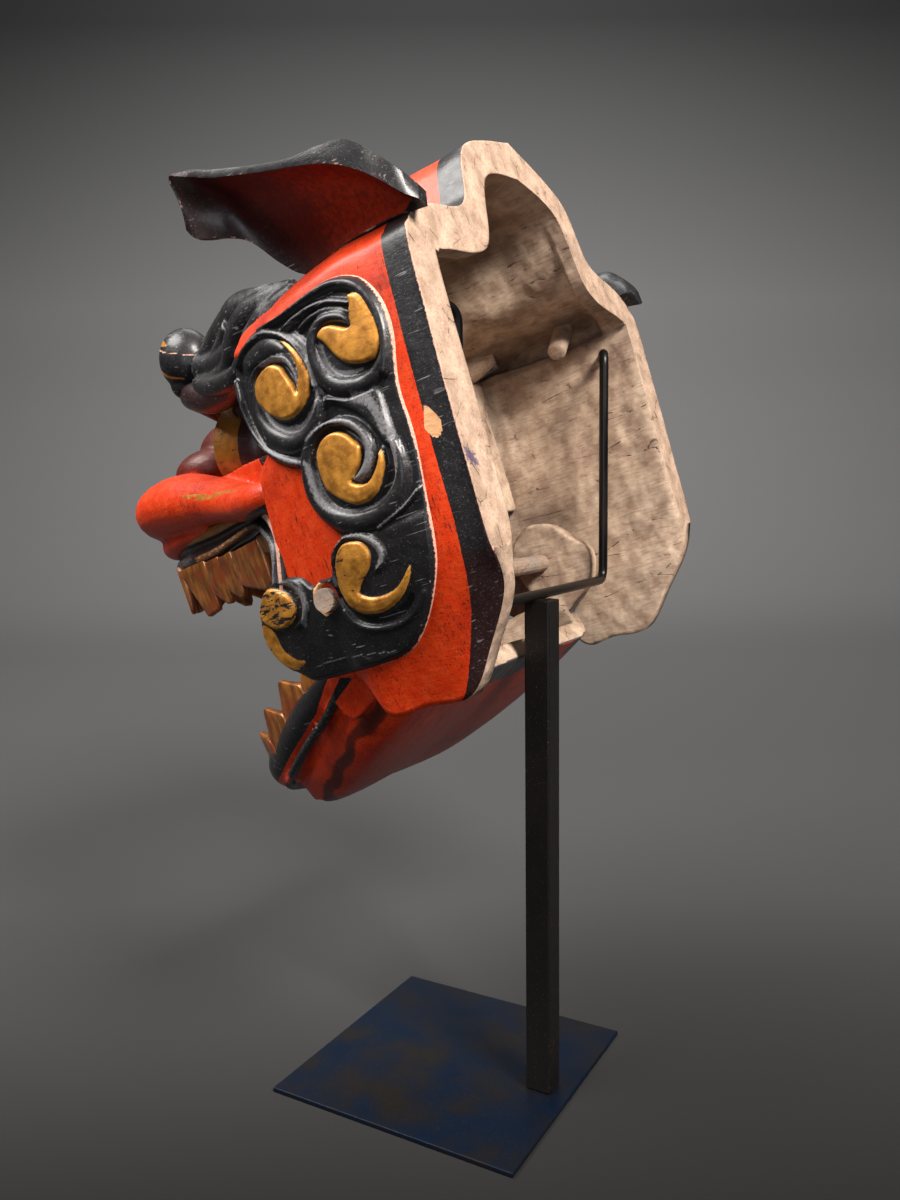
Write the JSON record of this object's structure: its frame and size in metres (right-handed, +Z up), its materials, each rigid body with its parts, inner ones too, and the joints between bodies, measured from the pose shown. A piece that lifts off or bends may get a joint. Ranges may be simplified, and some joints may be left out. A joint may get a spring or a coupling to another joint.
{
  "type": "lion dance head on a display stand",
  "caption": "Hollow carved and lacquered wooden lion head with hinged jaw and leaf-shaped ears, on a plain steel plate, post and bent-rod cradle.",
  "frame": {"origin": "centre of the base plate's underside", "axes": "+Z up, the lion's face looks to -Y and down, +X is the lion's left"},
  "size_m": [0.3418, 0.3221, 0.5703],
  "materials": {
    "stand_steel": "blackened, satin, with light specks",
    "vermilion_lacquer": "urushi lacquer over carved wood, worn, with black and ochre-gold details",
    "black_lacquer": "black lacquer over carved wood, scuffed",
    "bare_wood": "old bare wood"
  },
  "bodies": {
    "root": {"base_plate": "stand_steel", "post": "stand_steel", "cradle_rod": "stand_steel", "head_shell": "vermilion_lacquer", "left_ear": "black_lacquer", "right_ear": "black_lacquer", "jaw_axle": "bare_wood"},
    "jaw": {"jaw": "vermilion_lacquer"}
  },
  "joints": [
    {"name": "jaw_hinge", "type": "hinge", "parent": "root", "child": "jaw", "pos_m": [0, 0.0164, 0.322], "axis": [-1, 0, 0], "range_deg": [0, 30]}
  ]
}
